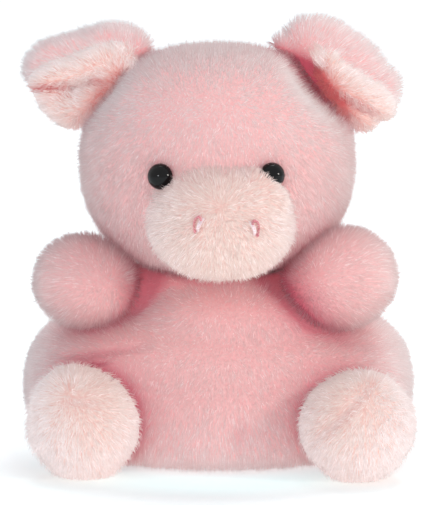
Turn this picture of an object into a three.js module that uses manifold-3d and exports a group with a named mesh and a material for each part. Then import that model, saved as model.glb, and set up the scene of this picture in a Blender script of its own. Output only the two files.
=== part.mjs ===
// A palm-size plush pig that sits upright: stuffed head, arms and feet on a bean-filled body.
// Millimetres, +Z up, the face looks along -Y. The origin is on the floor, under the neck.
// left and right are the toy's own sides: its left side is at +X.
import * as THREE from 'three'
import { mergeVertices } from 'three/addons/utils/BufferGeometryUtils.js'
import Module from 'manifold-3d'

const wasm = await Module()
wasm.setup()

// Cloth and clearances
const CLOTH = 2 // thickness of the plush cloth with its dense pile
const GAP = 0.3 // clearance between pieces that touch
const SLIDE = 0.5 // clearance where a piece slides past another on a hinge
const FLOOR_CUT = 0.5 // how much of the round undersides is pressed flat

// Body: a wide torso, two thighs and a flat seat, all one sewn bag
const BODY_CENTRE = [0, 3, 22]
const BODY_WIDTH = 106
const BODY_DEPTH = 78
const BODY_HEIGHT = 44.5
const BODY_BACK_SHIFT = 4
const THIGH_WIDTH = 52
const THIGH_DEPTH = 58
const THIGH_HEIGHT = 38.5
const THIGH_SPREAD = 28.5 // from the middle of the body to the middle of a thigh
const THIGH_FORWARD = 3
const SEAT_WIDTH = 86
const SEAT_DEPTH = 68
const SEAT_HEIGHT = 26
const SEAT_FORWARD = 3
const BEAN_LEVEL = 26 // top of the pellet pouch
const NECK_HOLE = 9 // radius of the open top of the body cloth

// Neck: shells round one point, so that the head can turn and tip on it
const NECK_DEPTH = 11.5 // how far the point lies below the top of the body
const NECK_FORWARD = 1
const NECK_POINT = [0, -NECK_FORWARD, BODY_HEIGHT - NECK_DEPTH]
const NECK_DOME = 21
const NECK_PAD = 2
const NECK_PAD_ANGLE = 32
const NECK_THREAD = 1
const NECK_THREAD_ANGLES = [28, 33]
const NECK_SIDES = 24
const NECK_STEPS = 4

// Head and muzzle
const HEAD_RISE = 39.7 // from the top of the body to the middle of the head
const HEAD_CENTRE = [-0.3, -2, BODY_HEIGHT + HEAD_RISE]
const HEAD_WIDTH = 77.5
const HEAD_DEPTH = 71
const HEAD_HEIGHT = 65.8
const MUZZLE_PLACE = [1.1, -28, -13.6] // from the middle of the head
const MUZZLE_CENTRE = placed(HEAD_CENTRE, MUZZLE_PLACE)
const MUZZLE_WIDTH = 40
const MUZZLE_DEPTH = 35
const MUZZLE_HEIGHT = 32.5

// Eyes: domes with a shank through the cloth and a washer behind it
const EYE_PLACES = { right: [-15.6, -0.9], left: [14.9, -0.6] } // x and z from the head's middle
const EYE_RADIUS = 3.6
const EYE_HEIGHT = 3.4
const EYE_SEAT = 0.8 // how deep the dome sits in the cloth
const SHANK_RADIUS = 1.2
const SHANK_LENGTH = 5.5
const WASHER_RADIUS = 4
const WASHER_THICKNESS = 1
const EYE_SIDES = 20
const DOME_STEPS = 6

// Nostrils: a stitched ring with a satin patch in it
const NOSTRIL_PLACES = { right: [-6.6, 1.1], left: [9.3, -0.1] } // x and z from the muzzle's middle
const NOSTRIL_WIDTH = 3.4
const NOSTRIL_HEIGHT = 5.2
const NOSTRIL_EDGE = 0.9
const STITCH_HEIGHT = 0.8
const STITCH_SEGMENTS = 7 // on each half of the outline
const NOSTRIL_TURNS = { right: -12, left: 8 } // degrees, as seen from the front

// Limits of the joints, in degrees
const HEAD_TURN = [-15, 15]
const HEAD_TILT = [-4, 4]
const HEAD_NOD = [-4, 6]
const ARM_SWING = [-5, 14]
const FOOT_LIFT = [0, 8]
const EAR_FLAP = [-12, 15]
const TAIL_WAG = [-15, 15]

// Arms: an upper arm and a paw, with their places from the middle of the body's top
const ARMS = {
  right: { shoulder: [-21, -8, 2.5], upper: [-32, -12, 5.5], paw: [-38.5, -14, 7.3] },
  left: { shoulder: [20, -9, 2.5], upper: [28.5, -14, 6.5], paw: [35.4, -17, 9] },
}
const PAW_SIZES = { right: [27, 26, 26.4], left: [29.4, 27, 28.4] }
const UPPER_ARM_SIZE = [23, 22, 22]
const SHOULDER_SIZE = [28, 22, 20]

// Feet: round balls in front of the thighs, with their soles to the front
const FEET = {
  right: { ankle: [-36, -18, 12], ball: [-37.4, -32, 15.2], ballSize: [31, 31, 31.4] },
  left: { ankle: [36, -21, 12], ball: [38.2, -36, 14.9], ballSize: [32.4, 31, 30.8] },
}

// Ears: two lobes each, cupped in front, with their places from the middle of the head. Each is sewn
// on along a slanting root, and a turn about the root from start to end folds the ear forward.
const EARS = {
  right: { top: [-36.7, 4, 28.8], lower: [-39.7, 3, 18.4], cup: [-37.7, -6.5, 22.3] },
  left: { top: [29.8, 4, 29.8], lower: [39.6, 3, 20.3], cup: [35.8, -6.5, 21.8] },
}
const EAR_SIZES = {
  right: { top: [37, 14, 18], lower: [24, 12, 20], cup: [31, 19, 20] },
  left: { top: [26, 14, 22], lower: [21, 12, 21], cup: [29, 19, 18] },
}
const EAR_TILTS = {
  right: { top: 12, lower: -30, cup: 25 }, // degrees
  left: { top: -15, lower: -45, cup: -35 },
}
const EAR_ROOTS = {
  right: { start: [-38.6, 4, 8.9], end: [-18.9, 4, 32.3] },
  left: { start: [15.3, 4, 32.3], end: [38.7, 4, 9.8] },
}
const EAR_LINING = 1.8

// Tail: a short curl on the back
const TAIL_RISE = 26 // height of its root above the floor
const TAIL_SEAT = 2 // how far the root starts inside the round of the back
const TAIL_LENGTH = 14
const TAIL_CURL_RADIUS = 4.5
const TAIL_TURNS = 1.2
const TAIL_ROOT_RADIUS = 2.8
const TAIL_TIP_RADIUS = 1.6
const TAIL_SIDES = 7
const TAIL_STEPS = 14

// Fineness of the faceted skins: rows from pole to pole, columns round
const COARSE = [9, 16]
const MEDIUM = [11, 18]
const FULL = [13, 22]
const FINE = [18, 32]
const BLEND = 2.2 // how softly two lobes of one sewn bag run into each other
const FARTHEST = 120 // no skin lies farther than this from its centre
const HALVINGS = 16

const MATERIALS = {
  pinkPlush: { color: 0xf0b4b6, roughness: 0.95 },
  palePlush: { color: 0xf0d8d0, roughness: 0.95 },
  lining: { color: 0xf2d2c8, roughness: 0.95 },
  fibre: { color: 0xfafafa, roughness: 1 },
  pouch: { color: 0xe9e2d6, roughness: 0.9 },
  glossyBlack: { color: 0x0a0809, roughness: 0.08 },
  whitePlastic: { color: 0xe8e8e4, roughness: 0.5 },
  stitch: { color: 0xd2787f, roughness: 0.7 },
  satin: { color: 0xf3dedb, roughness: 0.5 },
  thread: { color: 0xe59a9c, roughness: 0.8 },
}

const toy = new THREE.Group()

/** A point given by its offset from another one. */
function placed(base, offset) {
  return base.map((value, axis) => value + offset[axis])
}

/** Adds a named mesh of a solid or a geometry to the toy. */
function addPiece(name, shape, look) {
  const geometry = shape.isBufferGeometry ? shape : toGeometry(shape)
  const material = new THREE.MeshStandardMaterial({ metalness: 0, ...MATERIALS[look] })
  const mesh = new THREE.Mesh(geometry, material)
  mesh.name = name
  toy.add(mesh)
  return mesh
}

/** Turns a closed geometry into a solid that can be joined and cut. */
function toSolid(geometry) {
  const bare = geometry.clone()
  bare.deleteAttribute('normal')
  bare.deleteAttribute('uv')
  const merged = mergeVertices(bare, 1e-4)
  return new wasm.Manifold(new wasm.Mesh({
    numProp: 3,
    vertProperties: Float32Array.from(merged.attributes.position.array),
    triVerts: Uint32Array.from(merged.index.array),
  }))
}

/** Turns the largest piece of a solid back into a geometry. */
function toGeometry(solid) {
  const largest = solid.decompose().sort((a, b) => b.volume() - a.volume())[0]
  const data = largest.getMesh()
  const geometry = new THREE.BufferGeometry()
  geometry.setAttribute('position', new THREE.BufferAttribute(data.vertProperties, 3))
  geometry.setIndex(new THREE.BufferAttribute(data.triVerts, 1))
  return geometry
}

/** A lobe's distance function: an ellipsoid, squarer at the top and bottom as fullness grows. */
function lobe({ at, size, tilt = 0, fullness = 2 }) {
  const [halfX, halfY, halfZ] = size.map((length) => length / 2)
  const angle = THREE.MathUtils.degToRad(tilt)
  const cos = Math.cos(angle)
  const sin = Math.sin(angle)
  return (x, y, z) => {
    const dx = (x - at[0]) * cos + (z - at[2]) * sin
    const dy = y - at[1]
    const dz = (z - at[2]) * cos - (x - at[0]) * sin
    const round = Math.hypot(dx / halfX, dy / halfY)
    const ratio = (round ** fullness + Math.abs(dz / halfZ) ** fullness) ** (1 / fullness)
    return Math.hypot(dx, dy, dz) * (1 - 1 / Math.max(ratio, 1e-6))
  }
}

/** Joins distance functions softly, as stuffing does under one cloth. */
function soft(...parts) {
  return (x, y, z) => {
    const sum = parts.reduce((total, part) => total + Math.exp(-part(x, y, z) / BLEND), 0)
    return -BLEND * Math.log(sum)
  }
}

/** The turns about a point that a row of joints can make: [[axis, degrees], ...] each. */
function poses(...joints) {
  return joints.reduce(
    (list, [axis, angles]) => list.flatMap((turn) => angles.map((degrees) => {
      const step = new THREE.Quaternion().setFromAxisAngle(axis, THREE.MathUtils.degToRad(degrees))
      return turn.clone().multiply(step)
    })),
    [new THREE.Quaternion()],
  )
}

/** The space that a shape fills while it is turned about a pivot through all the turns. */
function swept(distance, pivot, turns) {
  const centre = new THREE.Vector3(...pivot)
  const backwards = turns.map((turn) => {
    const back = new THREE.Matrix4().makeRotationFromQuaternion(turn.clone().invert())
    const there = new THREE.Matrix4().makeTranslation(centre)
    const home = new THREE.Matrix4().makeTranslation(centre.clone().negate())
    return there.multiply(back).multiply(home).elements
  })
  return (x, y, z) => {
    let least = Infinity
    for (const m of backwards) {
      least = Math.min(least, distance(
        m[0] * x + m[4] * y + m[8] * z + m[12],
        m[1] * x + m[5] * y + m[9] * z + m[13],
        m[2] * x + m[6] * y + m[10] * z + m[14],
      ))
    }
    return least
  }
}

/** How far a ray from a centre runs before it leaves a shape grown by a margin. */
function reach(centre, direction, distance, grow) {
  const [x, y, z] = centre
  const [dx, dy, dz] = direction
  let inside = 0
  let outside = FARTHEST
  for (let i = 0; i < HALVINGS; i += 1) {
    const middle = (inside + outside) / 2
    if (distance(x + dx * middle, y + dy * middle, z + dz * middle) < grow) inside = middle
    else outside = middle
  }
  return inside
}

/** A closed skin round a centre, on the surface of a shape grown by a margin. */
function skin(centre, distance, grow, [rows, columns], swell = 1) {
  const positions = []
  const addPoint = (direction) => {
    const radius = swell * reach(centre, direction, distance, grow)
    positions.push(...centre.map((value, axis) => value + direction[axis] * radius))
  }
  addPoint([0, 0, 1])
  for (let row = 1; row < rows; row += 1) {
    const polar = Math.PI * row / rows
    for (let column = 0; column < columns; column += 1) {
      const round = 2 * Math.PI * (column + (row % 2) / 2) / columns
      addPoint([Math.sin(polar) * Math.cos(round), Math.sin(polar) * Math.sin(round), Math.cos(polar)])
    }
  }
  addPoint([0, 0, -1])
  const last = positions.length / 3 - 1
  const at = (row, column) => 1 + (row - 1) * columns + (column + columns) % columns
  const index = []
  for (let column = 0; column < columns; column += 1) {
    index.push(0, at(1, column), at(1, column + 1))
    index.push(last, at(rows - 1, column + 1), at(rows - 1, column))
    for (let row = 1; row < rows - 1; row += 1) {
      const shift = row % 2
      index.push(at(row, column), at(row + 1, column + shift), at(row, column + 1))
      index.push(at(row, column + 1 - shift), at(row + 1, column), at(row + 1, column + 1))
    }
  }
  const geometry = new THREE.BufferGeometry()
  geometry.setAttribute('position', new THREE.Float32BufferAttribute(positions, 3))
  geometry.setIndex(index)
  return toSolid(geometry)
}

/** A skin that clears a shape by a margin all over, its flat facets included. */
function room(centre, distance, margin, fineness) {
  const [rows, columns] = fineness
  const swell = 1 / (Math.cos(Math.PI / columns) * Math.cos(Math.PI / rows / 2))
  return skin(centre, distance, margin, fineness, swell)
}

/** A block between two heights, wider than the toy. */
function slab(low, high) {
  const box = new THREE.BoxGeometry(2 * FARTHEST, 2 * FARTHEST, high - low)
  return toSolid(box.translate(0, 0, (low + high) / 2))
}

/** A solid of revolution about a line from a point along a direction. */
function turned(profile, place, direction, segments) {
  const lathe = new THREE.LatheGeometry(profile.map(([r, h]) => new THREE.Vector2(r, h)), segments)
  lathe.rotateX(Math.PI / 2)
  const facing = new THREE.Quaternion().setFromUnitVectors(Z_AXIS, direction)
  return lathe.applyQuaternion(facing).translate(...place)
}

const X_AXIS = new THREE.Vector3(1, 0, 0)
const Y_AXIS = new THREE.Vector3(0, 1, 0)
const Z_AXIS = new THREE.Vector3(0, 0, 1)

/** A closed cylinder profile for a body of revolution, from one height to another. */
function rod(radius, low, high) {
  return [[0, low], [radius, low], [radius, high], [0, high]]
}

/** The outward direction of a shape's surface at a point. */
function outward(distance, [x, y, z]) {
  const step = 0.05
  return new THREE.Vector3(
    distance(x + step, y, z) - distance(x - step, y, z),
    distance(x, y + step, z) - distance(x, y - step, z),
    distance(x, y, z + step) - distance(x, y, z - step),
  ).normalize()
}

/** The point on the front of a shape at an x and z from its centre, or on its back with a side of 1. */
function surfacePoint(centre, distance, [x, z], side = -1) {
  const start = placed(centre, [x, 0, z])
  return placed(start, [0, side * reach(start, [0, side, 0], distance, 0), 0])
}

// Shapes of the sewn bags. Where two lobes of the body meet, the skin stands out, so they are lifted.
const BODY_LIFT = BLEND * Math.log(2) - FLOOR_CUT
const bodyShape = soft(
  lobe({
    at: [0, BODY_BACK_SHIFT, BODY_HEIGHT / 2 + BODY_LIFT],
    size: [BODY_WIDTH, BODY_DEPTH, BODY_HEIGHT],
    fullness: 2.6,
  }),
  ...[-1, 1].map((side) => lobe({
    at: [side * THIGH_SPREAD, -THIGH_FORWARD, THIGH_HEIGHT / 2 + BODY_LIFT],
    size: [THIGH_WIDTH, THIGH_DEPTH, THIGH_HEIGHT],
    fullness: 2.4,
  })),
  lobe({
    at: [0, -SEAT_FORWARD, SEAT_HEIGHT / 2 + BODY_LIFT],
    size: [SEAT_WIDTH, SEAT_DEPTH, SEAT_HEIGHT],
    fullness: 4,
  }),
)
const neckDome = lobe({ at: NECK_POINT, size: [2 * NECK_DOME, 2 * NECK_DOME, 2 * NECK_DOME] })
const trunkShape = (x, y, z) => Math.min(bodyShape(x, y, z), neckDome(x, y, z))
const headShape = lobe({ at: HEAD_CENTRE, size: [HEAD_WIDTH, HEAD_DEPTH, HEAD_HEIGHT], fullness: 2.3 })
const muzzleShape = lobe({
  at: MUZZLE_CENTRE,
  size: [MUZZLE_WIDTH, MUZZLE_DEPTH, MUZZLE_HEIGHT],
  fullness: 2.2,
})

// Turns that the neck allows, and the spaces that the head and the muzzle fill in them
const neckTurns = poses(
  [Z_AXIS, [HEAD_TURN[0], 0, HEAD_TURN[1]]],
  [Y_AXIS, [HEAD_TILT[0], 0, HEAD_TILT[1]]],
  [X_AXIS, [HEAD_NOD[0], 0, HEAD_NOD[1]]],
)
const headSweep = swept(headShape, NECK_POINT, neckTurns)
const muzzleSweep = swept(muzzleShape, NECK_POINT, neckTurns)
const neckReach = NECK_DOME + NECK_PAD + NECK_THREAD + 2 * GAP
const neckBall = lobe({ at: NECK_POINT, size: [2 * neckReach, 2 * neckReach, 2 * neckReach] })

/** Cuts a form by the parts that press on it. */
function cut(form, ...cutters) {
  return cutters.reduce((rest, cutter) => rest.subtract(cutter), form)
}

/** Adds a cloth shell and the filling in it, both open where the cutters reach. */
function addStuffedForm(name, centre, distance, [outerFineness, innerFineness], clothLook, cutters) {
  const outside = skin(centre, distance, 0, outerFineness)
  const hollow = skin(centre, distance, -CLOTH, innerFineness)
  const filling = skin(centre, distance, -CLOTH - GAP, innerFineness)
  addPiece(`${name}_cover`, cut(outside, hollow, ...cutters.cloth), clothLook)
  addPiece(`${name}_stuffing`, cut(filling, ...cutters.filling), 'fibre')
}

const belowFloor = slab(-2 * FARTHEST, 0)

// Body
function addBody() {
  const outside = skin(BODY_CENTRE, trunkShape, 0, FINE)
  const hollow = skin(BODY_CENTRE, trunkShape, -CLOTH, FULL)
  const filling = skin(BODY_CENTRE, trunkShape, -CLOTH - GAP, FULL)
  const neckHole = toSolid(turned(rod(NECK_HOLE, 0, FARTHEST), NECK_POINT, Z_AXIS, NECK_SIDES))
  addPiece('body_cover', cut(outside, hollow, neckHole, belowFloor), 'pinkPlush')
  addPiece('body_stuffing', cut(filling, slab(-FARTHEST, BEAN_LEVEL + GAP)), 'fibre')
  addPiece('bean_pouch', cut(filling, slab(BEAN_LEVEL, FARTHEST)), 'pouch')
}

/** A spherical band round the neck point, between two radii and two angles from straight up. */
function neckBand(inner, outer, fromAngle, toAngle, steps) {
  const arc = (radius, from, to) => Array.from({ length: steps + 1 }, (_, i) => {
    const angle = THREE.MathUtils.degToRad(from + (to - from) * i / steps)
    return [radius * Math.sin(angle), radius * Math.cos(angle)]
  })
  const profile = [...arc(inner, fromAngle, toAngle), ...arc(outer, toAngle, fromAngle)]
  if (fromAngle > 0) profile.push(profile[0])
  return turned(profile, NECK_POINT, Z_AXIS, NECK_SIDES)
}

// Neck
function addNeck() {
  const padInner = NECK_DOME + GAP
  const padOuter = padInner + NECK_PAD
  const threadInner = padOuter + GAP
  addPiece('neck_stuffing', toSolid(neckBand(padInner, padOuter, 0, NECK_PAD_ANGLE, NECK_STEPS)), 'fibre')
  const [fromAngle, toAngle] = NECK_THREAD_ANGLES
  const ring = neckBand(threadInner, threadInner + NECK_THREAD, fromAngle, toAngle, 1)
  addPiece('neck_seam_thread', toSolid(ring), 'thread')
}

const eyes = Object.entries(EYE_PLACES).map(([side, place]) => {
  const point = surfacePoint(HEAD_CENTRE, headShape, place)
  return { side, point, direction: outward(headShape, point) }
})

/** A round space at each eye, from one height above the cloth to another. */
function eyeRooms(radius, low, high) {
  return eyes.map(({ point, direction }) => (
    toSolid(turned(rod(radius, low, high), point, direction, EYE_SIDES))))
}

// Head, with the holes for the eyes
function addHead() {
  const neckSpace = room(NECK_POINT, neckBall, GAP, FULL)
  const seats = eyeRooms(EYE_RADIUS + GAP, -EYE_SEAT, EYE_HEIGHT)
  const shankHoles = eyeRooms(SHANK_RADIUS + GAP, -SHANK_LENGTH, 0)
  const washerRooms = eyeRooms(WASHER_RADIUS + GAP, -SHANK_LENGTH - EYE_SEAT, -CLOTH)
  addStuffedForm('head', HEAD_CENTRE, headShape, [FINE, COARSE], 'pinkPlush', {
    cloth: [neckSpace, ...seats, ...shankHoles, ...washerRooms],
    filling: [neckSpace, ...washerRooms],
  })
  for (const { side, point, direction } of eyes) addEye(side, point, direction)
}

// Eyes
function addEye(side, point, direction) {
  const back = GAP - EYE_SEAT
  const dome = Array.from({ length: DOME_STEPS + 1 }, (_, i) => {
    const angle = Math.PI / 2 * i / DOME_STEPS
    return [EYE_RADIUS * Math.cos(angle), back + EYE_HEIGHT * Math.sin(angle)]
  })
  dome[DOME_STEPS][0] = 0
  const shankEnd = -SHANK_LENGTH + GAP
  const profile = [[0, shankEnd], [SHANK_RADIUS, shankEnd], [SHANK_RADIUS, back], ...dome]
  addPiece(`${side}_eye`, toSolid(turned(profile, point, direction, EYE_SIDES)), 'glossyBlack')
  const top = -CLOTH - GAP
  const bottom = top - WASHER_THICKNESS
  const hole = SHANK_RADIUS + GAP
  const ring = [[hole, bottom], [WASHER_RADIUS, bottom], [WASHER_RADIUS, top], [hole, top], [hole, bottom]]
  addPiece(`${side}_eye_washer`, toSolid(turned(ring, point, direction, EYE_SIDES)), 'whitePlastic')
}

// Muzzle
function addMuzzle() {
  const face = skin(HEAD_CENTRE, headShape, GAP, FINE)
  const eyeSpaces = eyeRooms(EYE_RADIUS + GAP, -EYE_SEAT, 2 * EYE_HEIGHT)
  addStuffedForm('muzzle', MUZZLE_CENTRE, muzzleShape, [FULL, COARSE], 'palePlush', {
    cloth: [face, ...eyeSpaces],
    filling: [face, ...eyeSpaces],
  })
  const under = skin(MUZZLE_CENTRE, muzzleShape, GAP, FULL)
  for (const side of ['right', 'left']) addNostril(side, under)
}

/** A drop-shaped outline, narrower at the bottom. */
function drop(width, height) {
  const shape = new THREE.Shape()
  shape.moveTo(0, -height / 2)
  shape.bezierCurveTo(width * 0.45, -height * 0.3, width * 0.75, height / 2, 0, height / 2)
  shape.bezierCurveTo(-width * 0.75, height / 2, -width * 0.45, -height * 0.3, 0, -height / 2)
  return shape
}

// Nostrils
function addNostril(side, under) {
  const point = surfacePoint(MUZZLE_CENTRE, muzzleShape, NOSTRIL_PLACES[side])
  const frame = new THREE.Object3D()
  frame.up.set(0, 0, 1)
  frame.position.set(...point)
  frame.lookAt(outward(muzzleShape, point).add(frame.position))
  frame.rotateZ(THREE.MathUtils.degToRad(NOSTRIL_TURNS[side]))
  frame.updateMatrix()
  const stitch = (outline, height) => {
    const depth = 2 * CLOTH + height
    const settings = { depth, bevelEnabled: false, curveSegments: STITCH_SEGMENTS }
    const block = new THREE.ExtrudeGeometry(outline, settings).translate(0, 0, -2 * CLOTH)
    return toSolid(block.applyMatrix4(frame.matrix)).subtract(under)
  }
  const edge = drop(NOSTRIL_WIDTH, NOSTRIL_HEIGHT)
  edge.holes.push(drop(NOSTRIL_WIDTH - 2 * NOSTRIL_EDGE, NOSTRIL_HEIGHT - 2 * NOSTRIL_EDGE))
  addPiece(`${side}_nostril_stitching`, stitch(edge, STITCH_HEIGHT + GAP), 'stitch')
  const inset = 2 * (NOSTRIL_EDGE + GAP)
  const patch = drop(NOSTRIL_WIDTH - inset, NOSTRIL_HEIGHT - inset)
  addPiece(`${side}_nostril_patch`, stitch(patch, STITCH_HEIGHT), 'satin')
}

/** The turns of one hinge, from limit to limit. */
function hingeTurns(axis, [low, high]) {
  const middle = low < 0 ? 0 : (low + high) / 2
  return poses([axis, [low, middle, high]])
}

/** Turns a shape's surroundings the other way, as a piece on a hinge sees them. */
function surroundings(distance, pivot, turns) {
  return swept(distance, pivot, turns.map((turn) => turn.clone().invert()))
}

// Arms
function addArm(side) {
  const bodyTop = [0, 0, BODY_HEIGHT]
  const [shoulder, upper, paw] = ['shoulder', 'upper', 'paw'].map((key) => placed(bodyTop, ARMS[side][key]))
  const shape = soft(
    lobe({ at: shoulder, size: SHOULDER_SIZE }),
    lobe({ at: upper, size: UPPER_ARM_SIZE }),
    lobe({ at: paw, size: PAW_SIZES[side] }),
  )
  const centre = upper.map((value, axis) => (value + paw[axis]) / 2)
  const forward = side === 'right' ? Z_AXIS : Z_AXIS.clone().negate()
  const turns = hingeTurns(forward, ARM_SWING)
  const neighbours = [[BODY_CENTRE, trunkShape], [HEAD_CENTRE, headSweep], [MUZZLE_CENTRE, muzzleSweep]]
  const rooms = neighbours.map(([middle, neighbour]) => (
    room(middle, surroundings(neighbour, shoulder, turns), GAP, FINE)))
  addStuffedForm(`${side}_arm`, centre, shape, [MEDIUM, COARSE], 'pinkPlush', {
    cloth: rooms,
    filling: rooms,
  })
}

// Feet
function addFoot(side) {
  const { ankle, ball, ballSize } = FEET[side]
  const shape = lobe({ at: ball, size: ballSize })
  const turns = hingeTurns(X_AXIS.clone().negate(), FOOT_LIFT)
  const trunk = room(BODY_CENTRE, surroundings(trunkShape, ankle, turns), SLIDE, FINE)
  addStuffedForm(`${side}_foot`, ball, shape, [MEDIUM, COARSE], 'palePlush', {
    cloth: [trunk, belowFloor],
    filling: [trunk, belowFloor],
  })
}

// Ears
function addEar(side) {
  const [top, lower, cup] = ['top', 'lower', 'cup'].map((key) => ({
    at: placed(HEAD_CENTRE, EARS[side][key]),
    size: EAR_SIZES[side][key],
    tilt: EAR_TILTS[side][key],
  }))
  const shape = soft(lobe(top), lobe(lower))
  const centre = top.at.map((value, axis) => (value + lower.at[axis]) / 2)
  const { start, end } = EAR_ROOTS[side]
  const [rootStart, rootEnd] = [start, end].map((offset) => (
    new THREE.Vector3(...placed(HEAD_CENTRE, offset))))
  const axis = rootEnd.clone().sub(rootStart).normalize()
  const pivot = rootStart.clone().add(rootEnd).multiplyScalar(0.5).toArray()
  const head = room(HEAD_CENTRE, surroundings(headShape, pivot, hingeTurns(axis, EAR_FLAP)), GAP, FINE)
  const whole = skin(centre, shape, 0, MEDIUM)
  const bowl = skin(cup.at, lobe(cup), 0, COARSE)
  const liningBack = skin(cup.at, lobe(cup), -GAP, COARSE)
  const liningFront = skin(cup.at, lobe(cup), -GAP - EAR_LINING, COARSE)
  addPiece(`${side}_ear_back`, cut(whole, bowl, head), 'pinkPlush')
  addPiece(`${side}_ear_lining`, cut(liningBack.intersect(whole), liningFront, head), 'lining')
}

const tailRoot = surfacePoint(BODY_CENTRE, trunkShape, [0, TAIL_RISE - BODY_CENTRE[2]], 1)

/** The middle of the tail: out from the back in a growing curl. */
function tailMiddle(t) {
  const turn = 2 * Math.PI * TAIL_TURNS * t
  const radius = TAIL_CURL_RADIUS * Math.min(1, 2 * t)
  const [x, y, z] = tailRoot
  const out = y - TAIL_SEAT + (TAIL_LENGTH + TAIL_SEAT) * t
  return new THREE.Vector3(x + radius * Math.sin(turn), out, z + radius * Math.cos(turn))
}

// Tail
function addTail() {
  const positions = []
  for (let step = 0; step <= TAIL_STEPS; step += 1) {
    const t = step / TAIL_STEPS
    const centre = tailMiddle(t)
    const along = tailMiddle(t + 0.01).sub(centre).normalize()
    const across = new THREE.Vector3().crossVectors(along, Y_AXIS).normalize()
    const out = new THREE.Vector3().crossVectors(across, along)
    const radius = THREE.MathUtils.lerp(TAIL_ROOT_RADIUS, TAIL_TIP_RADIUS, t)
    for (let side = 0; side < TAIL_SIDES; side += 1) {
      const angle = 2 * Math.PI * side / TAIL_SIDES
      const point = centre.clone()
      point.addScaledVector(across, radius * Math.cos(angle))
      point.addScaledVector(out, radius * Math.sin(angle))
      positions.push(...point.toArray())
    }
  }
  positions.push(...tailMiddle(0).toArray(), ...tailMiddle(1).toArray())
  const rootPoint = TAIL_SIDES * (TAIL_STEPS + 1)
  const index = []
  for (let side = 0; side < TAIL_SIDES; side += 1) {
    const next = (side + 1) % TAIL_SIDES
    for (let step = 0; step < TAIL_STEPS; step += 1) {
      const here = step * TAIL_SIDES
      const ahead = here + TAIL_SIDES
      index.push(here + side, ahead + side, ahead + next)
      index.push(here + side, ahead + next, here + next)
    }
    index.push(rootPoint, side, next)
    index.push(rootPoint + 1, TAIL_STEPS * TAIL_SIDES + next, TAIL_STEPS * TAIL_SIDES + side)
  }
  const geometry = new THREE.BufferGeometry()
  geometry.setAttribute('position', new THREE.Float32BufferAttribute(positions, 3))
  geometry.setIndex(index)
  const turns = hingeTurns(X_AXIS, TAIL_WAG)
  const [x, y, z] = tailRoot
  const trunk = room([x, y - TAIL_LENGTH, z], surroundings(trunkShape, tailRoot, turns), GAP, FINE)
  addPiece('tail', toSolid(geometry).subtract(trunk), 'pinkPlush')
}

addBody()
addNeck()
addHead()
addMuzzle()
addTail()
for (const side of ['right', 'left']) {
  addArm(side)
  addFoot(side)
  addEar(side)
}

export default toy
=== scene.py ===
"""A palm-size plush pig: sewn skins with their fur, glossy eyes and stitched nostrils."""

import itertools
import math

import bpy
import numpy as np
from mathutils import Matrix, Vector


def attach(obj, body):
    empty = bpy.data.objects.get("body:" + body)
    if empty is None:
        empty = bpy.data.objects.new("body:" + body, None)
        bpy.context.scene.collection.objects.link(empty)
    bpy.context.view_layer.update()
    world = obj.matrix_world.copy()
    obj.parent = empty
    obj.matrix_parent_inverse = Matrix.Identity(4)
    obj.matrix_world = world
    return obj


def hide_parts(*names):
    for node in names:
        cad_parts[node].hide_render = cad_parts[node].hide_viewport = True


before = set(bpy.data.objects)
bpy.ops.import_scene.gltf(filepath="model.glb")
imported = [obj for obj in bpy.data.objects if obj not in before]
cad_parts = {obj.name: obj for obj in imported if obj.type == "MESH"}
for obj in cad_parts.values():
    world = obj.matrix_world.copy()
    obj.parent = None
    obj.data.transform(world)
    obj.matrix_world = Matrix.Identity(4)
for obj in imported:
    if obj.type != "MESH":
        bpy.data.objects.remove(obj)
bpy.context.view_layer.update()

# Shapes are worked out in millimetres, in the frame's axes: the face looks along -Y.
# right and left are the toy's own sides, so its left side is at +X.
MM = 0.001
UP = np.array([0.0, 0.0, 1.0])
FRONT = np.array([0.0, -1.0, 0.0])
SIDES = ("right", "left")

# The photograph's frame and viewpoint
FRAME_HEIGHT = 506
VIEW_DISTANCE = 900.0
VIEW_ELEVATION = math.radians(8)
VIEW_TARGET = (0.0, -0.33, 57.6)
MM_PER_PIXEL = 0.283
SENSOR = 36.0

# The pile: how far the cloth lies below the outline, and its strands
PILE = 1.9
PILE_FLOOR = 0.1  # the cloth's height above the floor where the toy rests
STRAND_LENGTH = 2.9
STRAND_RADIUS = 0.09
STRAND_SINK = 0.4  # how deep a root sits in the cloth
FRIZZ = 0.16  # how far strands stray from the nap
STRAYS = 0.15  # the share of strands that stand up
PAINTED_GLINTS = 0.06  # the share of strands painted white as glints: painted highlights
DENSITY = 8.0  # strands on a square millimetre
MOST_FACES = 190000  # in one piece of fur
LOCK_SIZE = 2.4  # the width of the locks that long strands gather into
LOCK_PULL = 0.3
SHORT_FACES = 4  # in a short strand
LONG_FACES = 10  # in a long strand, which bends once
SHORT_TIPS = [0, 0, 0, 1]  # how near the tip each point of a strand is
LONG_TIPS = [0, 0, 0, 0.6, 0.6, 0.6, 1]
CELL = 1.0  # the skins' net

# Painted shade: towards another part the colour deepens, in a wide soft shade and a narrow dark one
WIDE_SHADE = 0.28
WIDE_REACH = 9
DARK_SHADE = 0.58
DARK_REACH = 2.4

# Painted light on the tips of the pile, which look paler where light catches them: their weights, and where
# each of them counts
TOP_TIP_LIGHT = 0.15
SIDE_TIP_LIGHT = 0.6
LOW_TIP_LIGHT = 0.9
LOW_HEIGHT = 22
HIGH_TIP_LIGHT = 0.6
HIGH_START = 86.8
HIGH_DEPTH = 14
HIP_TIP_LIGHT = 0.7
HIP_START = 34
HIP_WIDTH = 16
HIP_TOP = 48
HIP_DEPTH = 8

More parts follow.
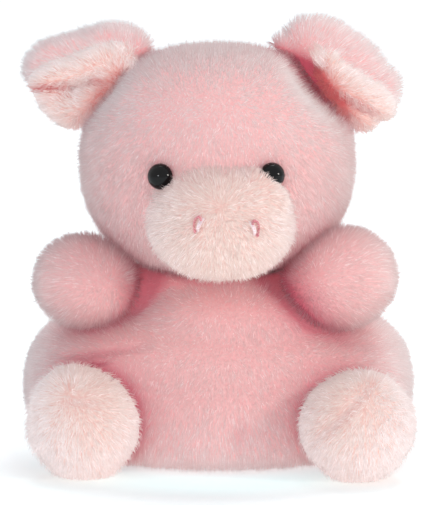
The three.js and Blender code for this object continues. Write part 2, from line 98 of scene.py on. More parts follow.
# Body
BODY_SIZE = (106, 78, 44.5)
BODY_BACK_SHIFT = 4
THIGH_SIZE = (52, 58, 38.5)
THIGH_SPREAD = 28.5
THIGH_FORWARD = 3
SEAT_SIZE = (86, 68, 26)
SEAT_FORWARD = 3
CHEST_AT = (4.5, -13, 39.5)
CHEST_SIZE = (55, 33, 27)
CHEST_HOLLOW = {"at": (-20.8, -20, 52.4), "size": (24, 26, 13), "tilt": 34}
YOKE_AT = (0, -3, 45)  # the crest of the shoulders, behind the arms
YOKE_SIZE = (72, 32, 30)
BLEND = 2.2  # how softly stuffed forms join
FLOOR_CUT = 0.5  # how much of the round underside the floor presses flat
PRESS = 1.4  # how far the pile of two parts that touch mingles
BODY_LIFT = BLEND * math.log(2) - FLOOR_CUT
NECK_POINT = (0, -1, 33)  # the middle of the neck's dome, on which the head turns
NECK_DOME = 21
NECK_GAP = 0.3
NECK_PAD = 1.9
BEAN_LEVEL = 26  # between the pellets and the fibre over them, with a gap on both sides
POUCH_GAP = 0.7
WADDING_GAP = 1.5

# Folds of the body's front: the x and z of both ends, depth and width
BODY_FOLDS = [
    ((-45, 30.5), (-19, 35.2), 0.55, 1.3),
    ((-42, 28.6), (-30, 30.8), 0.8, 0.6),
    ((5, 9), (6, 17), 0.4, 2.2),
    ((30, 36), (46, 32), 0.3, 1.5),
]

# Head and muzzle
HEAD_CENTRE = (-0.3, -2, 84.2)
HEAD_SIZE = (77.5, 71, 65.8)
MUZZLE_CENTRE = (0.8, -30, 70.6)
MUZZLE_SIZE = (40, 35, 32.5)
PUFF_AT = (12.3, -36.5, 79.6)  # the muzzle's upper corner, over the left eye's lower half
PUFF_SIZE = (17, 12, 10.8)
PUFF_TILT = -40
NOSE = (1.0, -47, 77)  # where the muzzle's fur parts
CHIN = (0, -36, 40)  # where the head's fur points
HEAD_FILL_GAP = 4.5  # between the head's filling and the neck
MUZZLE_FILL_GAP = 3.0  # between the muzzle's filling and the head
EYE_PLACES = {"right": (-15.6, -0.9), "left": (14.9, -0.6)}  # x and z from the head's middle
EYE_RADIUS = 3.6
EYE_HEIGHT = 3.4
EYE_SEAT = 0.8  # how deep the dome sits in the cloth
EYE_STAND = 0.3
EYE_BEVEL = 0.12
SHANK_RADIUS = 1.2
SHANK_DEPTH = 5.2
NOSTRIL_PLACES = {"right": (-6.6, 1.1), "left": (9.3, -0.1)}  # x and z from the muzzle's middle
NOSTRIL_TURNS = {"right": -12, "left": 8}
NOSTRIL_WIDTH = 3.4
NOSTRIL_HEIGHT = 5.2
OUTLINE_SHARES = (-0.14, 0.53, 0.042)  # of the way round: the first stitch, the end and the step
OUTLINE_SINK = 0.9  # how deep in the pile the ends of a stitch lie
OUTLINE_RISE = 1.2
OUTLINE_RADIUS = 0.21
SATIN_STITCHES = 5
SATIN_SINK = 1.0
SATIN_RISE = 1.25
SATIN_RADIUS = 0.2

# Arms and feet
ARMS = {
    "right": {
        "shoulder": (-20, -4, 47), "upper": (-33, -12, 50),
        "paw": (-38.5, -14, 51.8), "paw_size": (27, 26, 26.4),
    },
    "left": {
        "shoulder": (20, -9, 47), "upper": (29, -18, 49.5),
        "paw": (35.4, -17, 53.5), "paw_size": (29.4, 27, 28.4),
    },
}
ARM_SHADE_REACH = 12.5  # where painted shade starts on an arm's front, from the paw's middle
SHOULDER_SIZE = (28, 22, 20)
UPPER_ARM_SIZE = (23, 22, 22)
FEET = {
    "right": {
        "at": (-37, -32, 15), "size": (32.4, 31, 31), "top": (-40.5, -32, 21), "top_size": (19, 20, 20),
        "whorl": (-41.6, -44, 26), "fold": ((-43, 23.2), (-32, 22), 0.5, 1.2),
    },
    "left": {
        "at": (38, -36, 14.9), "size": (32.8, 31, 30), "top": (40.5, -35, 20), "top_size": (19, 20, 20),
        "whorl": (42.2, -41, 29), "fold": ((42.5, 28), (26, 12), 0.8, 1.2),
    },
}
FOOT_BLEND = 1.2

# Ears: rolls of the pink back, pads of the pale lining, the folds in their front, the seat in the
# head that the seam draws in, and how strong the painted shade gets along the seam
EARS = {
    "right": {
        "rolls": [
            {"at": (-48, 2.5, 110.6), "size": (17, 11, 13), "tilt": 52},
            {"at": (-37, 3, 115), "size": (30, 12, 12), "tilt": 16},
            {"at": (-26, 3, 113.4), "size": (17, 12, 17), "tilt": -40},
            {"at": (-38, 6, 105), "size": (27, 10, 21), "tilt": 30},
        ],
        "pads": [
            {"at": (-39.5, -2, 109.6), "size": (31, 12, 9.5), "tilt": 21},
            {"at": (-43.5, -0.5, 100.4), "size": (19, 11, 12.5), "tilt": -38},
            {"at": (-33, -1.5, 105.5), "size": (28, 13, 11), "tilt": 48},
        ],
        "folds": [((-54, 104.4), (-33, 106.6), 3.0, 1.1), ((-50, 101), (-40, 103.6), 0.7, 0.9)],
        "seat": {"at": (-36.2, -10, 108.1), "size": (32, 36, 16), "tilt": 48},
        "seam": 0.55,
    },
    "left": {
        "rolls": [
            {"at": (33, 3, 112.6), "size": (34, 12, 19), "tilt": -32},
            {"at": (44, 3, 103.2), "size": (15, 11, 17), "tilt": -38},
            {"at": (20.8, 3.5, 113.2), "size": (12, 11, 16), "tilt": 55},
            {"at": (31, 4, 105.5), "size": (35, 12, 17), "tilt": -42},
        ],
        "pads": [
            {"at": (38, -2, 103.6), "size": (27, 12, 11), "tilt": -30},
            {"at": (31.5, -2, 111), "size": (11, 10, 7), "tilt": -56},
            {"at": (38, -1, 98.5), "size": (17, 11, 8), "tilt": -38},
        ],
        "folds": [((21, 112), (28, 104), 3.6, 3.2), ((33, 103), (44, 97.5), 1.8, 1.2)],
        "seat": {"at": (32.2, -14, 107.8), "size": (38, 40, 18), "tilt": -43},
        "seam": 0.9,
    },
}
# Where the nets of the ears are made
EAR_BOXES = {"right": ((-62, -14, 84), (-8, 18, 130)), "left": ((8, -14, 84), (60, 18, 130))}
EAR_BLEND = 0.7
# Locks of long fur at the ears' inner corners: x and z of both ends
LOCKS = {"right": ((-25.5, 113.6), (-31, 107)), "left": ((26.5, 116), (33, 107))}
LOCK_DEPTH = -8
LOCK_SPREAD = 1.8
LINING_STAND = 0.1  # how far the lining's cloth stands out of the ear's back

# Tail: a short curl on the back
TAIL_ROOT = (0, 42.9, 26)
TAIL_SEAT = 2
TAIL_LENGTH = 14
TAIL_CURL_RADIUS = 4.5
TAIL_TURNS = 1.2
TAIL_RADII = (2.8, 1.6)
TAIL_PILE = 0.6

# The studio, in metres and watts: area lamps, a plain sky, and a floor that glows for the rays that light
# the toy, and for those that see it, where a painted shadow, grey rather than pink, dims the glow near the
# toy and lets its real shadow show
LAMPS = {
    "key": {"place": (1.02, -0.5, 0.35), "size": 0.17, "power": 4.0, "color": (1.0, 0.93, 0.86)},
    "fill": {"place": (-0.43, -1.0, 0.3), "size": 0.13, "power": 1.5, "color": (0.9, 0.94, 1.0)},
    "top": {"place": (0.1, 0.5, 1.3), "size": 0.6, "power": 5.5, "color": (1.0, 0.99, 0.98)},
}
LAMPS_AIM = (0, 0, 0.06)
SKY_COLOR = (0.91, 0.945, 1.0, 1)
SKY_STRENGTH = 0.7
FLOOR_REACH = 3000.0
FLOOR_COLOR = (0.84, 0.9, 0.9, 1)
FLOOR_GLOW = (0.45, 0.45, 0.45, 1)
PAINTED_FLOOR_SHADOW = [(0.045, (0.2, 0.42, 0.42, 1)), (0.06, (0.15, 0.2, 0.2, 1)), (0.1, (0.5, 0.5, 0.5, 1))]


def noise(points, size, seed):
    """Smooth noise from 0 to 1 in space, with lumps of about the given size in millimetres."""
    lattice = np.random.default_rng(seed).random((32, 32, 32))
    cell = points / size + 512.0
    base = np.floor(cell).astype(int)
    part = cell - base
    part = part * part * (3 - 2 * part)
    total = np.zeros(len(points))
    for corner in itertools.product((0, 1), repeat=3):
        weight = np.prod(np.where(corner, part, 1 - part), axis=1)
        total += weight * lattice[tuple(((base + corner) % 32).T)]
    return total


def unit(vectors):
    return vectors / np.maximum(np.linalg.norm(vectors, axis=-1, keepdims=True), 1e-9)


def lobe(at, size, tilt=0.0, fullness=2.0):
    """The distance function of an ellipsoid, squarer at the top and bottom as fullness grows."""
    half = np.array(size) / 2
    cos, sin = math.cos(math.radians(tilt)), math.sin(math.radians(tilt))

    def distance(points):
        x, y, z = (points - np.array(at)).T
        across = x * cos + z * sin
        rise = z * cos - x * sin
        round_part = np.hypot(across / half[0], y / half[1])
        ratio = (round_part**fullness + np.abs(rise / half[2]) ** fullness) ** (1 / fullness)
        return np.sqrt(across**2 + y**2 + rise**2) * (1 - 1 / np.maximum(ratio, 1e-6))

    return distance


def soft(*shapes, blend=BLEND):
    """Joins shapes softly, as stuffing does under one cloth."""

    def distance(points):
        values = np.stack([shape(points) for shape in shapes])
        least = values.min(axis=0)
        return least - blend * np.log(np.exp((least - values) / blend).sum(axis=0))

    return distance


def pressed(shape, other, clearance, blend=0.6):
    """A shape pushed in by another one, with a rounded edge to the dent."""
    return lambda points: blend * np.logaddexp(shape(points) / blend, (clearance - other(points)) / blend)


def on_floor(shape):
    """A shape whose pile is pressed flat towards the floor, and which ends there."""

    def distance(points):
        z = points[:, 2]
        squeezed = PILE * (1 - np.clip(z / 7, 0, 1) ** 0.6)
        return np.maximum(shape(points) - squeezed, PILE_FLOOR - z - PILE)

    return distance


def fold(points, start, end, depth, width):
    """How far a fold draws the front in; its ends are x and z as seen from the front."""
    flat = points[:, [0, 2]]
    along = np.subtract(end, start)
    share = np.clip((flat - start) @ along / (along @ along), 0, 1)
    gap = np.linalg.norm(flat - start - share[:, None] * along, axis=1)
    taper = np.sqrt(np.sin(math.pi * (0.04 + 0.92 * share)))
    return depth * taper * np.exp(-((gap / width) ** 2)) / (1 + np.exp(points[:, 1] / 2))


def gradient(shape, points, step=0.05):
    slopes = [shape(points + step * axis) - shape(points - step * axis) for axis in np.eye(3)]
    return np.stack(slopes, axis=1) / (2 * step)


def near(*shapes, reach):
    """How close points are to the nearest of some shapes, from 0 to 1 where they touch."""
    return lambda points: np.exp(-np.clip(np.min([s(points) for s in shapes], axis=0), 0, None) / reach)


def painted_crease_shade(*shapes):
    """How much painted shade deepens the colour towards the shapes: a wide soft shade and a narrow dark
    one.
    """
    wide, narrow = near(*shapes, reach=WIDE_REACH), near(*shapes, reach=DARK_REACH)
    return lambda points: WIDE_SHADE * wide(points) + DARK_SHADE * narrow(points)


def box_round(centre, size, margin=3.0):
    half = np.array(size) / 2 + margin
    return np.array(centre) - half, np.array(centre) + half


def skin_of(shape, level, box, cell=CELL):
    """A closed net on the surface of a shape, below its outline by a level: points and triangles."""
    low = np.array(box[0], float)
    counts = np.ceil((np.array(box[1]) - low) / cell).astype(int) + 1
    places = [low[axis] + cell * np.arange(counts[axis]) for axis in range(3)]
    grid = np.stack(np.meshgrid(*places, indexing="ij"), axis=-1).reshape(-1, 3)
    inside = (shape(grid) < -level).reshape(counts)
    corners = [
        inside[tuple(slice(shift, count - 1 + shift) for shift, count in zip(shifts, counts))]
        for shifts in itertools.product((0, 1), repeat=3)
    ]
    filled = np.sum(corners, axis=0)
    mixed = (filled > 0) & (filled < 8)
    number = np.full(mixed.shape, -1)
    number[mixed] = np.arange(mixed.sum())
    points = low + cell * (np.argwhere(mixed) + 0.5)
    quads = []
    for axis in range(3):
        order = [axis, (axis + 1) % 3, (axis + 2) % 3]
        state, cells = inside.transpose(order), number.transpose(order)
        here, ahead = state[:-1, 1:-1, 1:-1], state[1:, 1:-1, 1:-1]
        i, j, k = np.nonzero(here != ahead)
        ring = [cells[i, j, k], cells[i, j + 1, k], cells[i, j + 1, k + 1], cells[i, j, k + 1]]
        ring = np.stack(ring, axis=1)
        leaves = here[i, j, k]
        quads.append(np.where(leaves[:, None], ring, ring[:, ::-1]))
    quads = np.concatenate(quads)
    for _ in range(5):
        slope = gradient(shape, points)
        step = (shape(points) + level)[:, None] * slope / np.maximum((slope**2).sum(1, keepdims=True), 0.05)
        limit = np.minimum(1, 0.7 * cell / np.maximum(np.linalg.norm(step, axis=1), 1e-9))
        points = points - step * limit[:, None]
    return points, np.concatenate([quads[:, [0, 1, 2]], quads[:, [0, 2, 3]]])


def mesh_object(name, points, faces):
    """A smooth object with a mesh of points in millimetres and faces of one kind."""
    mesh = bpy.data.meshes.new(name)
    mesh.vertices.add(len(points))
    mesh.vertices.foreach_set("co", (np.asarray(points) * MM).astype(np.float32).ravel())
    mesh.loops.add(faces.size)
    mesh.loops.foreach_set("vertex_index", faces.astype(np.int32).ravel())
    mesh.polygons.add(len(faces))
    mesh.polygons.foreach_set("loop_start", np.arange(0, faces.size, faces.shape[1], dtype=np.int32))
    mesh.polygons.foreach_set("use_smooth", np.full(len(faces), True))
    mesh.update()
    piece = bpy.data.objects.new(name, mesh)
    bpy.context.scene.collection.objects.link(piece)
    return piece


def set_values(piece, **values):
    """Stores numbers on a mesh's points for its material to read."""
    for label, numbers in values.items():
        store = piece.data.attributes.new(label, "FLOAT", "POINT").data
        store.foreach_set("value", np.asarray(numbers, np.float32))


def vertex_normals(points, faces):
    a, b, c = (points[faces[:, i]] for i in range(3))
    flat = np.cross(b - a, c - a)
    normals = np.zeros_like(points)
    for i in range(3):
        np.add.at(normals, faces[:, i], flat)
    return unit(normals)


# Materials
def linear(red, green, blue):
    """A colour as it shows on a screen, 0 to 255, made linear."""
    values = np.array([red, green, blue]) / 255
    return (*np.where(values > 0.04045, ((values + 0.055) / 1.055) ** 2.4, values / 12.92), 1.0)


class Painter:
    """Builds the nodes of one material."""

    def __init__(self, name):
        self.material = bpy.data.materials.new(name)
        self.material.use_nodes = True
        self.nodes = self.material.node_tree.nodes
        self.links = self.material.node_tree.links
        self.shader = self.nodes["Principled BSDF"]

    def node(self, kind, *sources, **values):
        """Adds a node with its first inputs linked, and its settings or other inputs set by name."""
        node = self.nodes.new(kind)
        for label, value in values.items():
            if hasattr(node, label):
                setattr(node, label, value)
            else:
                node.inputs[label.replace("_", " ").title()].default_value = value
        for socket, source in zip(node.inputs, sources):
            self.links.new(source, socket)
        return node

    def noise(self, scale, detail=2.0):
        place = self.node("ShaderNodeTexCoord").outputs["Object"]
        return self.node("ShaderNodeTexNoise", place, scale=scale, detail=detail).outputs["Fac"]

    def value(self, name):
        return self.node("ShaderNodeAttribute", attribute_name=name).outputs["Fac"]

    def math(self, operation, *sources):
        node = self.node("ShaderNodeMath", operation=operation)
        for socket, source in zip(node.inputs, sources):
            if isinstance(source, bpy.types.NodeSocket):
                self.links.new(source, socket)
            else:
                socket.default_value = source
        return node.outputs[0]

    def ramp(self, source, *stops):
        node = self.node("ShaderNodeValToRGB", source)
        for _ in stops[2:]:
            node.color_ramp.elements.new(0.5)
        for element, (place, color) in zip(node.color_ramp.elements, stops):
            element.position = place
            element.color = color
        return node.outputs["Color"]

    def mix(self, share, first, second):
        node = self.node("ShaderNodeMix", data_type="RGBA")
        self.links.new(share, node.inputs["Factor"])
        self.links.new(first, node.inputs[6])
        node.inputs[7].default_value = second
        return node.outputs[2]

    def bump(self, height, distance, strength=0.6):
        node = self.node("ShaderNodeBump", distance=distance, strength=strength)
        self.links.new(height, node.inputs["Height"])
        self.links.new(node.outputs["Normal"], self.shader.inputs["Normal"])

    def finish(self, color, roughness, **values):
        self.links.new(color, self.shader.inputs["Base Color"])
        if isinstance(roughness, bpy.types.NodeSocket):
            self.links.new(roughness, self.shader.inputs["Roughness"])
        else:
            self.shader.inputs["Roughness"].default_value = roughness
        for label, value in values.items():
            self.shader.inputs[label.replace("_", " ")].default_value = value
        return self.material


class Look:
    """A plush: the colours of its pile from root to tip, with painted shade towards the root and painted
    light at the tip, and its painted shade in hollows.
    """

    def __init__(self, name, slot, root, middle, tip, hollow):
        self.name, self.slot = name, slot
        self.root, self.middle = linear(*root), linear(*middle)
        self.tip, self.hollow = linear(*tip), linear(*hollow)
        self.fibre = self.fibre_material()
        self.cloth = self.cloth_material()

    def fibre_material(self):
        """Strands: painted shade at the root and in hollows, painted light and painted glints towards the
        tip, each a little different.
        """
        paint = Painter(f"{self.name}_fibre")
        along = paint.ramp(paint.value("tip"), (0, self.root), (0.4, self.middle), (1, self.tip))
        # Painted shade in hollows
        color = paint.mix(paint.value("deep"), along, self.hollow)
        # Painted light and painted glints pale a strand, most at its tip
        upper = paint.math("MULTIPLY_ADD", paint.value("tip"), 0.6, 0.4)
        pale = paint.math("MULTIPLY", paint.value("pale"), upper)
        color = paint.mix(pale, color, LIT_TIP_COLOR)
        patches = paint.math("MULTIPLY_ADD", paint.noise(70), 0.12, 0.94)
        tone = paint.node("ShaderNodeHueSaturation")
        paint.links.new(color, tone.inputs["Color"])
        paint.links.new(paint.math("MULTIPLY", patches, paint.value("shade")), tone.inputs["Value"])
        return paint.finish(
            tone.outputs["Color"], 0.5, Specular_IOR_Level=0.3, Sheen_Weight=0.3, Sheen_Roughness=0.45
        )

    def cloth_material(self):
        """The cloth under the pile: between the strands its root colours stand for painted shade, and in
        hollows it takes the painted shade colour.
        """
        paint = Painter(f"{self.name}_cloth")
        tufts = paint.noise(1100, 3)
        color = paint.ramp(tufts, (0.35, self.root), (0.7, self.middle))
        # Painted shade in hollows
        color = paint.mix(paint.value("deep"), color, self.hollow)
        paint.bump(tufts, 0.0004)
        return paint.finish(color, 0.95, Sheen_Weight=0.3)


# The colour of painted light on the pile's tips
LIT_TIP_COLOR = linear(253, 238, 237)
# Each look: root, middle and tip colours, with painted shade towards the root and painted light at the tip,
# then the colour of painted shade in hollows
PINK = Look("pink", "pink_plush", (240, 173, 172), (243, 190, 187), (250, 219, 215), (200, 88, 106))
PALE = Look("pale", "pale_plush", (230, 179, 169), (240, 207, 196), (249, 228, 218), (200, 118, 122))
LINING = Look("lining", "ear_lining", (230, 169, 158), (244, 206, 192), (251, 228, 217), (210, 100, 100))


def wadding():
    """Loose white fibre, with its short curls."""
    paint = Painter("wadding")
    curls = paint.noise(700, 6)
    paint.bump(curls, 0.0008)
    color = paint.ramp(curls, (0.3, linear(205, 205, 208)), (0.7, linear(250, 250, 250)))
    return paint.finish(color, 0.9)


def woven(name, dark, light, threads):
    """A plain weave of fine threads."""
    paint = Painter(name)
    place = paint.node("ShaderNodeTexCoord").outputs["Object"]
    waves = [
        paint.node("ShaderNodeTexWave", place, bands_direction=axis, scale=threads, distortion=0.4)
        for axis in ("X", "Z")
    ]
    weave = paint.math("MULTIPLY", *(wave.outputs["Fac"] for wave in waves))
    paint.bump(weave, 0.0001)
    return paint.finish(paint.ramp(weave, (0.1, linear(*dark)), (0.8, linear(*light))), 0.85)


def spun(name, dark, light, sheen):
    """Embroidery thread with its fine twist."""
    paint = Painter(name)
    twist = paint.noise(2200, 3)
    paint.bump(twist, 0.00006)
    color = paint.ramp(twist, (0.3, linear(*dark)), (0.75, linear(*light)))
    return paint.finish(color, 0.45, Sheen_Weight=sheen)


def moulded(name, dark, light, roughness, bump, gleam):
    """Moulded plastic: almost even, with a faint flow and wear."""
    paint = Painter(name)
    flow = paint.noise(220, 3)
    paint.bump(paint.noise(1500, 2), bump, 0.2)
    gloss = paint.math("MULTIPLY_ADD", flow, 0.4 * roughness, 0.8 * roughness)
    color = paint.ramp(flow, (0.3, linear(*dark)), (0.8, linear(*light)))
    return paint.finish(color, gloss, Specular_IOR_Level=gleam)


WADDING = wadding()
POUCH_CLOTH = woven("pouch_cloth", (206, 198, 184), (238, 232, 220), 900)
NOSTRIL_THREAD = spun("nostril_thread", (200, 84, 100), (246, 186, 190), 0.3)
NOSTRIL_SATIN = spun("nostril_satin", (224, 188, 192), (255, 244, 244), 0.4)
SEAM_THREAD = spun("seam_thread", (206, 116, 122), (236, 158, 162), 0.2)
BLACK_GLOSS = moulded("black_gloss", (3, 2, 3), (9, 7, 9), 0.03, 0.000004, 0.22)
WASHER_PLASTIC = moulded("washer_plastic", (214, 214, 208), (240, 240, 236), 0.5, 0.00002, 0.4)


# Shapes
body_shape = soft(
    lobe((0, BODY_BACK_SHIFT, BODY_SIZE[2] / 2 + BODY_LIFT), BODY_SIZE, fullness=2.6),
    *(
        lobe((side * THIGH_SPREAD, -THIGH_FORWARD, THIGH_SIZE[2] / 2 + BODY_LIFT), THIGH_SIZE, fullness=2.4)
        for side in (-1, 1)
    ),
    lobe((0, -SEAT_FORWARD, SEAT_SIZE[2] / 2 + BODY_LIFT), SEAT_SIZE, fullness=4),
)
neck_dome = lobe(NECK_POINT, (2 * NECK_DOME,) * 3)
plain_head = lobe(HEAD_CENTRE, HEAD_SIZE, fullness=2.3)
ear_seats = [lobe(**ear["seat"]) for ear in EARS.values()]


def nearer_seat(points):
    """How far points are from the nearer of the hollows where the ears are seated."""
    return np.min([seat(points) for seat in ear_seats], axis=0)


head_shape = pressed(plain_head, nearer_seat, 0, blend=1.0)
muzzle_shape = soft(
    lobe(MUZZLE_CENTRE, MUZZLE_SIZE, fullness=2.2), lobe(PUFF_AT, PUFF_SIZE, PUFF_TILT), blend=0.8
)


def face_shape(points):
    """The head and the muzzle together."""
    return np.minimum(head_shape(points), muzzle_shape(points))


chest = pressed(lobe(CHEST_AT, CHEST_SIZE), lobe(**CHEST_HOLLOW), 0, blend=0.8)
shoulders = pressed(soft(chest, lobe(YOKE_AT, YOKE_SIZE)), face_shape, -PRESS)
plain_trunk = soft(body_shape, neck_dome, shoulders, blend=1.6)
arm_shapes = {
    side: soft(
        lobe(arm["shoulder"], SHOULDER_SIZE),
        lobe(arm["upper"], UPPER_ARM_SIZE),
        lobe(arm["paw"], arm["paw_size"]),
    )
    for side, arm in ARMS.items()
}
foot_shapes = {
    side: soft(lobe(foot["at"], foot["size"]), lobe(foot["top"], foot["top_size"]), blend=FOOT_BLEND)
    for side, foot in FEET.items()
}
limbs = [*arm_shapes.values(), *foot_shapes.values()]


def body_folds(points):
    return sum(fold(points, *values) for values in BODY_FOLDS)


def trunk_shape(points):
    return plain_trunk(points) + body_folds(points)


def ear_part(side, kind):
    return soft(*(lobe(**values) for values in EARS[side][kind]), blend=EAR_BLEND)


def ear_folds(side, points):
    return sum(fold(points, *values) for values in EARS[side]["folds"])


def ear_shape(side):
    whole = soft(ear_part(side, "rolls"), ear_part(side, "pads"), blend=EAR_BLEND)
    return lambda points: whole(points) + ear_folds(side, points)


ears = {side: ear_shape(side) for side in SIDES}


def surface_point(centre, shape, place):
    """The point on a shape's front at an x and z from its centre, and the direction out of it."""
    start = np.array(centre, float) + (place[0], 0, place[1])
    inside, outside = 0.0, 120.0
    for _ in range(40):
        middle = (inside + outside) / 2
        if shape((start + FRONT * middle)[None])[0] < 0:
            inside = middle
        else:
            outside = middle
    point = start + FRONT * inside
    return point, unit(gradient(shape, point[None]))[0]


eyes = {side: surface_point(HEAD_CENTRE, head_shape, EYE_PLACES[side]) for side in SIDES}
nostrils = {side: surface_point(MUZZLE_CENTRE, muzzle_shape, NOSTRIL_PLACES[side]) for side in SIDES}


def eye_gap(points):
    """How far points are from the rim of the nearer eye, along the cloth."""
    gaps = []
    for centre, direction in eyes.values():
        offset = points - centre
        gaps.append(np.linalg.norm(offset - (offset @ direction)[:, None] * direction, axis=1) - EYE_RADIUS)
    return np.min(gaps, axis=0)


def nostril_gap(points):
    """How far points are from the middle of the nearer nostril."""
    return np.min([np.linalg.norm(points - centre, axis=1) for centre, _ in nostrils.values()], axis=0)


# Fur
random = np.random.default_rng(7)


def flow_down(points, normals):
    """The nap of the body: strands lean down along the cloth."""
    return np.tile(-UP, (len(points), 1))


def flow_from(source, down=0.0):
    """A nap that spreads from a parting in the fur."""
    return lambda points, normals: unit(points - np.array(source)) - down * UP


def flow_to(target):
    """A nap that points at one place."""
    return lambda points, normals: unit(np.array(target) - points)


def scatter(skin, density, keep):
    """Roots spread evenly over a skin, and the skin's direction at each."""
    points, faces = skin
    corners = points[faces]
    doubled = np.cross(corners[:, 1] - corners[:, 0], corners[:, 2] - corners[:, 0])
    area = np.linalg.norm(doubled, axis=1) / 2
    count = int(area.sum() * density)
    chosen = random.choice(len(faces), count, p=area / area.sum())
    share = random.random((count, 2))
    share = np.where(share.sum(1, keepdims=True) > 1, 1 - share, share)
    weights = np.column_stack([1 - share.sum(1), share])[:, :, None]
    roots = (corners[chosen] * weights).sum(1)
    normals = unit((vertex_normals(points, faces)[faces[chosen]] * weights).sum(1))
    kept = keep(roots, normals)
    return roots[kept], normals[kept]


def gathered(roots, ends):
    """Draws the ends of neighbouring strands together into locks."""
    wander = np.stack([noise(roots, 4.0, seed) for seed in (16, 17, 18)], axis=1)
    cells = np.floor((roots + 2 * wander) / LOCK_SIZE).astype(int)
    lock = np.unique(cells, axis=0, return_inverse=True)[1].ravel()
    shares = 1 / np.bincount(lock)
    middles = np.stack([np.bincount(lock, ends[:, axis]) * shares for axis in range(3)], axis=1)
    return ends + LOCK_PULL * (middles[lock] - ends)


def painted_tip_light(points, normals):
    """How much painted light pales the pile's tips: where it faces up, at the sides, at the hips, high up
    and low down.
    """
    across, _, rise = normals.T
    x, _, z = points.T
    low = np.clip(1 - z / LOW_HEIGHT, 0, 1)
    high = np.clip((z - HIGH_START) / HIGH_DEPTH, 0, 1)
    hips = np.clip((np.abs(x) - HIP_START) / HIP_WIDTH, 0, 1) * np.clip((HIP_TOP - z) / HIP_DEPTH, 0, 1)
    by_place = LOW_TIP_LIGHT * low + HIGH_TIP_LIGHT * high + HIP_TIP_LIGHT * hips
    return TOP_TIP_LIGHT * np.clip(rise, 0, 1) + SIDE_TIP_LIGHT * across**2 + by_place


def strand_points(roots, ends, centres, aside, thin, normals):
    """Closed three-sided strands: their points from root to tip, and the direction that shades each."""
    course = unit(ends - roots)
    across = unit(aside - course * (aside * course).sum(1, keepdims=True))
    over = np.cross(course, across)
    turn = random.random(len(roots)) * 2 * math.pi
    rings, shading = [], []
    for level, centre in enumerate(centres):
        for corner in range(3):
            angle = (turn + corner * 2 * math.pi / 3)[:, None]
            offset = across * np.cos(angle) + over * np.sin(angle)
            rings.append(centre + offset * thin * (1 - 0.25 * level))
            shading.append(unit(0.8 * normals + offset))
    vertices = np.stack([*rings, ends], axis=1)
    vertices[:, 1:, 2] = np.maximum(vertices[:, 1:, 2], PILE_FLOOR)
    vertices[:, :, 2] = np.maximum(vertices[:, :, 2], PILE_FLOOR / 2)
    return vertices, np.stack([*shading, unit(normals + course)], axis=1)


def strand_tones(roots, normals, hollow):
    """How light each strand's colour is, and how much painted shade and painted tip light it takes; a few
    strands take a painted white glint.
    """
    count = len(roots)
    # Painted highlights: a few strands painted white as glints, none where painted shade lies
    painted_glint = (random.random(count) < PAINTED_GLINTS) * (1 - hollow)
    shade = 0.92 + 0.06 * noise(roots, 1.6, 15) + 0.04 * random.normal(size=count).clip(-2, 2)
    # Painted light on the tips, varied strand by strand
    pale = np.clip(painted_tip_light(roots, normals) * (0.6 + 0.8 * random.random(count)), 0, 1)
    return {"shade": shade + 0.18 * painted_glint, "deep": hollow, "pale": pale * (1 - hollow) + painted_glint}


def grow(
    name, body, look, skin, nap, keep, deep,
    density=DENSITY, length=STRAND_LENGTH, lean=0.65, long=False,
):
    """Fur on a skin: strands that lean with the nap and gather into tufts."""
    roots, normals = scatter(skin, density, keep)
    count = len(roots)
    along = nap(roots, normals)
    along = unit(along - normals * (along * normals).sum(1, keepdims=True))
    aside = np.cross(normals, along)
    tufts = noise(roots, 2.4, 11) - 0.5 + 0.8 * (noise(roots, 6.0, 12) - 0.5)
    swing = FRIZZ * (5 * tufts + random.normal(size=count))
    stray = random.random(count) < STRAYS
    tilt = lean * (1 + 2.6 * FRIZZ * (noise(roots, 2.8, 13) - 0.5))
    tilt = tilt + 0.5 * FRIZZ * random.normal(size=count)
    tilt[stray] *= 0.5
    heading = along * np.cos(swing)[:, None] + aside * np.sin(swing)[:, None]
    reach = length(roots) if callable(length) else np.full(count, float(length))
    reach = reach * (0.8 + 0.24 * noise(roots, 3.0, 14) + 0.16 * random.random(count) + 0.28 * stray)
    thin = STRAND_RADIUS * (0.8 + 0.4 * random.random(count))[:, None]

    def rise(part, angle):
        direction = normals * np.cos(angle)[:, None] + heading * np.sin(angle)[:, None]
        return direction * (reach * part)[:, None]

    centres = [roots - normals * STRAND_SINK]
    if long:
        centres.append(roots + rise(0.55, tilt * 0.6))
        ends = gathered(roots, centres[1] + rise(0.45, tilt * 1.4))
    else:
        ends = roots + rise(1.0, tilt)
    vertices, shading = strand_points(roots, ends, centres, aside, thin, normals)
    tones = strand_tones(roots, normals, deep(roots))
    parts = math.ceil(count * (LONG_FACES if long else SHORT_FACES) / MOST_FACES)
    order = np.argsort(roots[:, 2] + 0.2 * roots[:, 0])
    for part, members in enumerate(np.array_split(order, parts)):
        piece = strands_piece(
            name if parts == 1 else f"{name}_{part + 1}", vertices[members], shading[members], long,
            {label: numbers[members] for label, numbers in tones.items()},
        )
        piece.data.materials.append(look.fibre)
        # Real fibres are fine enough to let light through; the shade among them is painted in their colour
        # instead
        piece.visible_shadow = False
        piece.visible_diffuse = False
        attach(piece, body)


